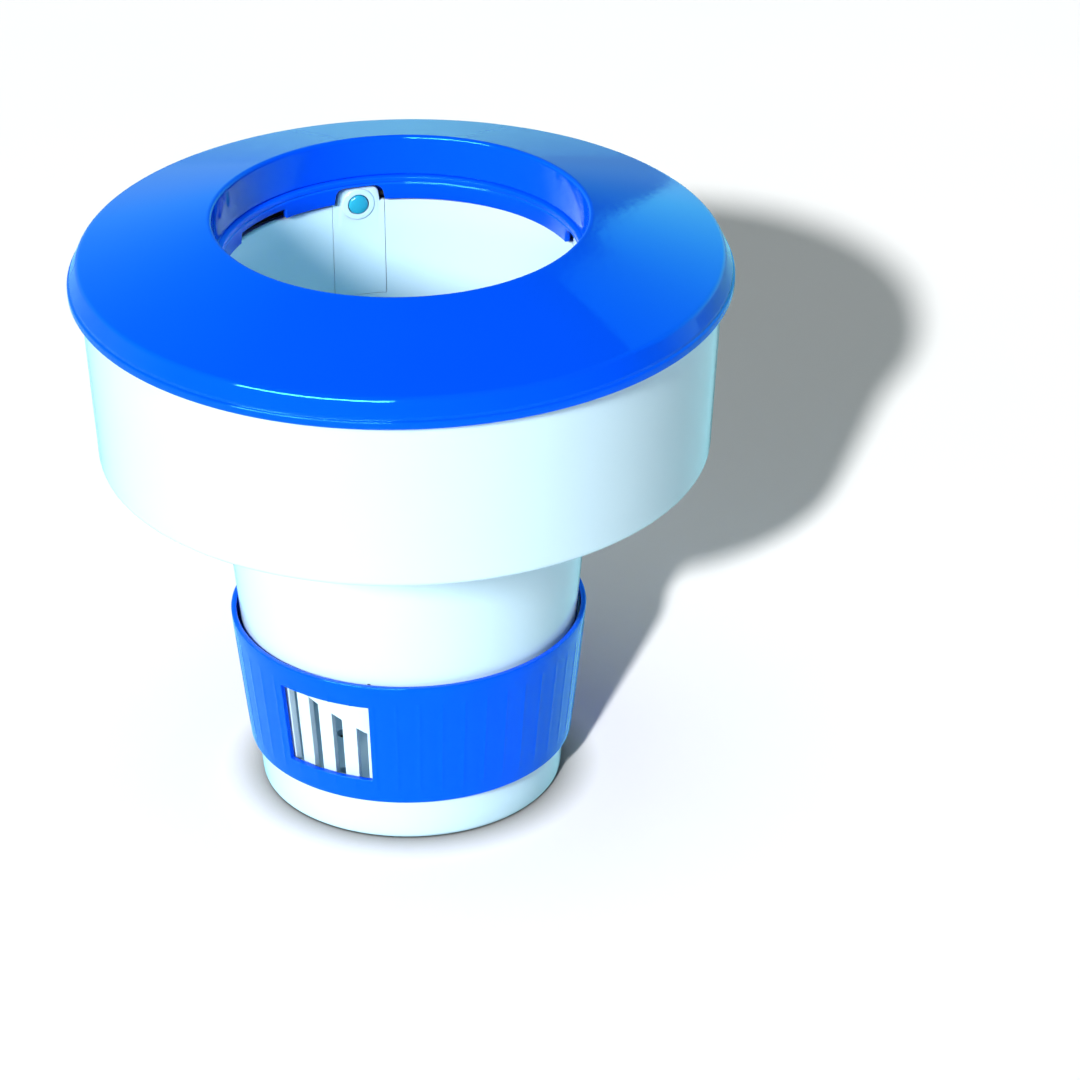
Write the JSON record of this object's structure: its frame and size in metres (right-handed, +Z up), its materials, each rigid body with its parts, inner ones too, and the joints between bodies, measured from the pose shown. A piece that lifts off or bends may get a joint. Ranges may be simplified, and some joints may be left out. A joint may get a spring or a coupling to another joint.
{
  "type": "floating chlorine dispenser",
  "caption": "Round floating dispenser: blue-capped white ring float over a tapered tablet canister with graded slots and a turning dosing ring.",
  "frame": {"origin": "centre of the base that the dispenser stands on", "axes": "+Z up along the axis that every round piece shares; -Y faces the side with the open dosing window"},
  "size_m": [0.201, 0.201, 0.191],
  "materials": {
    "blue_plastic": "glossy royal blue moulded plastic",
    "white_plastic": "glossy cool white moulded plastic",
    "cyan_plastic": "glossy cyan moulded plastic",
    "seal_rubber": "matt black rubber",
    "teal_plastic": "matt dark teal plastic"
  },
  "bodies": {
    "canister": {"tablet_canister": "white_plastic", "ring_stop_pin": "teal_plastic"},
    "float": {"cap_ring": "blue_plastic", "canister_collar": "blue_plastic", "float_drum": "white_plastic", "outer_seal": "seal_rubber", "inner_seal": "seal_rubber"},
    "dosing_ring": {"dosing_ring": "blue_plastic"},
    "latch": {"latch_finger": "white_plastic", "release_button": "cyan_plastic"}
  },
  "joints": [
    {"name": "float_lift", "type": "slide", "parent": "canister", "child": "float", "axis": [0, 0, 1], "range_m": [0, 0.12]},
    {"name": "dosing_turn", "type": "hinge", "parent": "canister", "child": "dosing_ring", "pos_m": [0, 0, 0.035], "axis": [0, 0, 1], "range_deg": [0, 70]},
    {"name": "latch_flex", "type": "hinge", "parent": "canister", "child": "latch", "pos_m": [-0.01323, 0.05552, 0.138], "axis": [-0.9728, -0.2317, 0], "range_deg": [0, 3.5], "stiffness_Nm_per_rad": 2}
  ]
}
